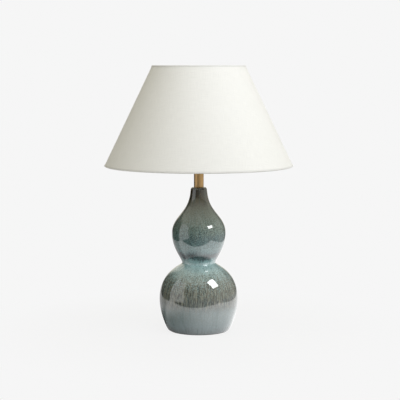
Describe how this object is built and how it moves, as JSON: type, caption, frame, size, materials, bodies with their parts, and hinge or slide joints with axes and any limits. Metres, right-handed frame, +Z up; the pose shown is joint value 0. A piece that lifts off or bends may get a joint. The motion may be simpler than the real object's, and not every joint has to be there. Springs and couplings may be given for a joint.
{
  "type": "table lamp",
  "caption": "Table lamp with a glazed double gourd body, a brass neck, a turn-key socket and a cone shade on a harp.",
  "frame": {"origin": "centre of the felt pad's underside, where the lamp stands", "axes": "+Z up along the rod; the switch key points to -Y, the harp stands in the XZ plane and the cord leaves towards +Y"},
  "size_m": [0.4252, 0.4252, 0.6001],
  "materials": {
    "reactive_glaze": "glossy, streaked teal and olive glaze",
    "felt": "pressed felt",
    "zinc_steel": "zinc plated",
    "rubber": "moulded",
    "antique_brass": "satin, darkened",
    "polished_brass": "polished",
    "brass_plate": "plated steel",
    "fibre_board": "pressed fibre",
    "phenolic": "moulded",
    "aluminium": "rolled thread",
    "black_glass": "vitreous insulator",
    "solder": "soldered",
    "opal_glass": "opal white",
    "linen": "plain weave, laminated",
    "linen_binding": "folded over the edge",
    "styrene": "smooth white sheet",
    "white_enamel": "powder coated wire"
  },
  "bodies": {
    "base": {"ceramic_body": "reactive_glaze", "base_felt": "felt", "base_plate": "zinc_steel", "base_lock_washer": "zinc_steel", "base_nut": "zinc_steel", "cord_grommet": "rubber", "threaded_rod": "zinc_steel", "neck_bush": "polished_brass", "neck_tube": "antique_brass", "tube_cap": "antique_brass", "harp_saddle": "brass_plate", "saddle_nut": "brass_plate", "harp": "brass_plate", "harp_stud": "polished_brass", "socket_cap": "polished_brass", "socket_set_screw": "zinc_steel", "socket_shell": "polished_brass", "socket_sleeve": "fibre_board", "socket_core": "phenolic", "terminal_screws": "polished_brass", "screw_shell": "aluminium", "centre_contact": "polished_brass"},
    "left_ferrule": {"harp_ferrule_left": "polished_brass"},
    "right_ferrule": {"harp_ferrule_right": "polished_brass"},
    "switch": {"switch_stem": "polished_brass", "switch_key": "phenolic"},
    "bulb": {"bulb_cap": "aluminium", "bulb_base": "black_glass", "bulb_tip": "solder", "bulb_glass": "opal_glass"},
    "shade": {"shade_fabric": "linen", "shade_liner": "styrene", "shade_top_ring": "white_enamel", "shade_bottom_ring": "white_enamel", "shade_top_trim": "linen_binding", "shade_bottom_trim": "linen_binding", "shade_spider": "white_enamel"},
    "finial": {"finial": "antique_brass"}
  },
  "joints": [
    {"name": "shade_turn", "type": "hinge", "parent": "base", "child": "shade", "pos_m": [0, 0, 0.578], "axis": [0, 0, 1], "continuous": true},
    {"name": "finial_turn", "type": "hinge", "parent": "base", "child": "finial", "pos_m": [0, 0, 0.585], "axis": [0, 0, 1], "continuous": true},
    {"name": "switch_turn", "type": "hinge", "parent": "base", "child": "switch", "pos_m": [0, -0.02, 0.4166], "axis": [0, -1, 0], "continuous": true},
    {"name": "bulb_turn", "type": "hinge", "parent": "base", "child": "bulb", "pos_m": [0, 0, 0.44], "axis": [0, 0, 1], "continuous": true},
    {"name": "left_ferrule_slide", "type": "slide", "parent": "base", "child": "left_ferrule", "axis": [0, 0, 1], "range_m": [0, 0.012]},
    {"name": "right_ferrule_slide", "type": "slide", "parent": "base", "child": "right_ferrule", "axis": [0, 0, 1], "range_m": [0, 0.012]}
  ]
}
